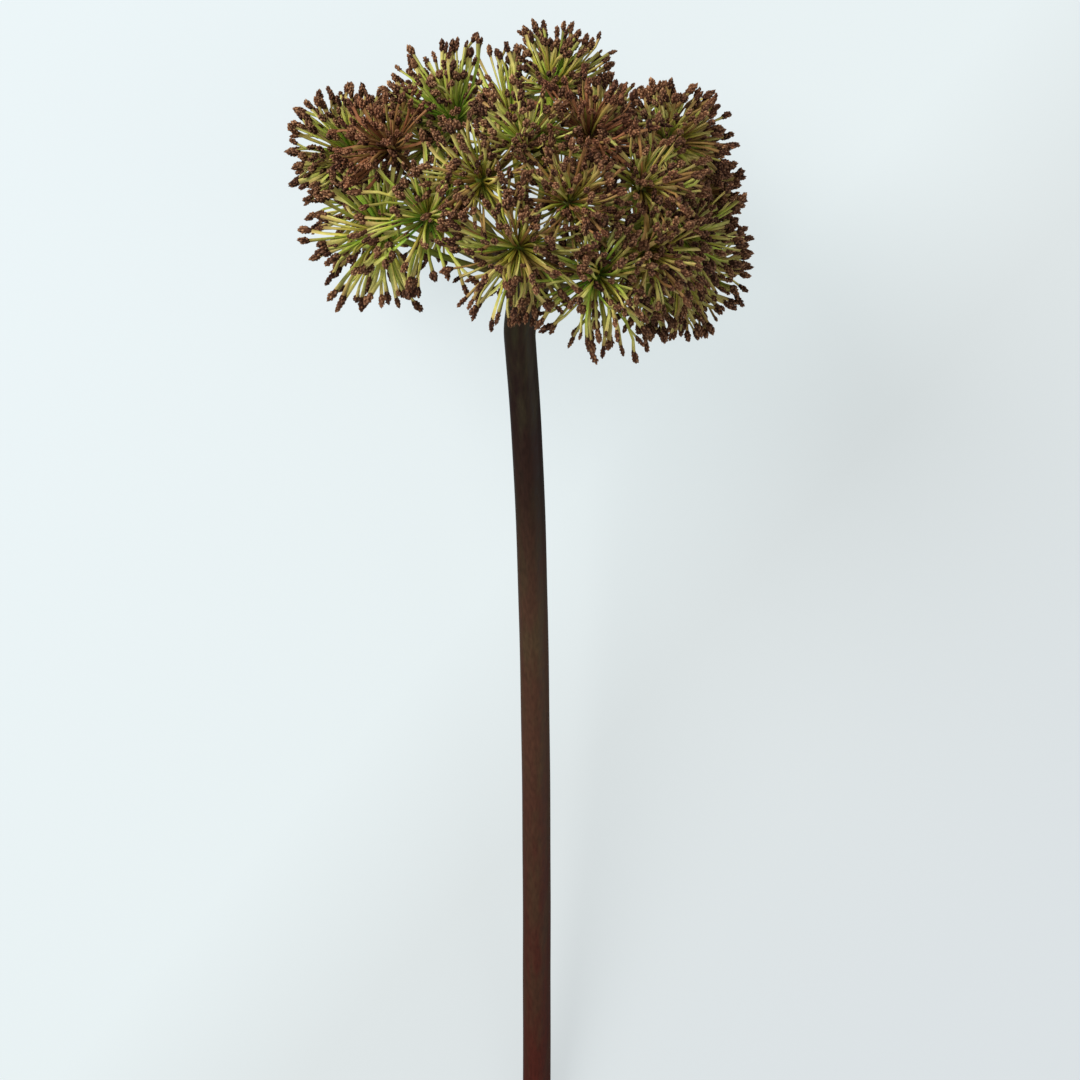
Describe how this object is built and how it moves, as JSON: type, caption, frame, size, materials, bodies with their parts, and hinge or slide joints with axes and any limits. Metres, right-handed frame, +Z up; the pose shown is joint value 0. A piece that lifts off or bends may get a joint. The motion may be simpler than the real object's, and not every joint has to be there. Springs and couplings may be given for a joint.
{
  "type": "dried seed head",
  "caption": "Dried angelica seed head cut with its stem and laid on its side: a domed umbel of rays, each ending in a round burst of stalks tipped with brown seed clubs.",
  "frame": {"origin": "on the surface that the seed head lies on, under the middle of its bounding box", "axes": "+Y from the stem's cut end towards the crown of the umbel, +Z up, +X to the right when seen from above with the crown away from the viewer"},
  "size_m": [0.1538, 0.3768, 0.1525],
  "materials": {
    "stem": "dark maroon brown bark, satin",
    "umbellet": "olive green stalks with chocolate brown granular seed clubs, matte",
    "rusty_umbellet": "rust brown stalks with chocolate brown granular seed clubs, matte"
  },
  "bodies": {
    "root": {"stem": "stem", "umbellet_01": "umbellet", "umbellet_02": "umbellet", "umbellet_03": "umbellet", "umbellet_04": "umbellet", "umbellet_05": "umbellet", "umbellet_06": "rusty_umbellet", "umbellet_07": "umbellet", "umbellet_08": "umbellet", "umbellet_09": "umbellet", "umbellet_10": "rusty_umbellet", "umbellet_11": "umbellet", "umbellet_12": "umbellet", "umbellet_13": "umbellet", "umbellet_14": "umbellet", "umbellet_15": "umbellet", "umbellet_16": "umbellet", "umbellet_17": "umbellet", "umbellet_18": "umbellet", "umbellet_19": "umbellet", "umbellet_20": "umbellet", "umbellet_21": "umbellet", "umbellet_22": "umbellet", "umbellet_23": "umbellet", "umbellet_24": "umbellet", "umbellet_25": "umbellet", "umbellet_26": "umbellet", "umbellet_27": "umbellet"}
  },
  "joints": []
}
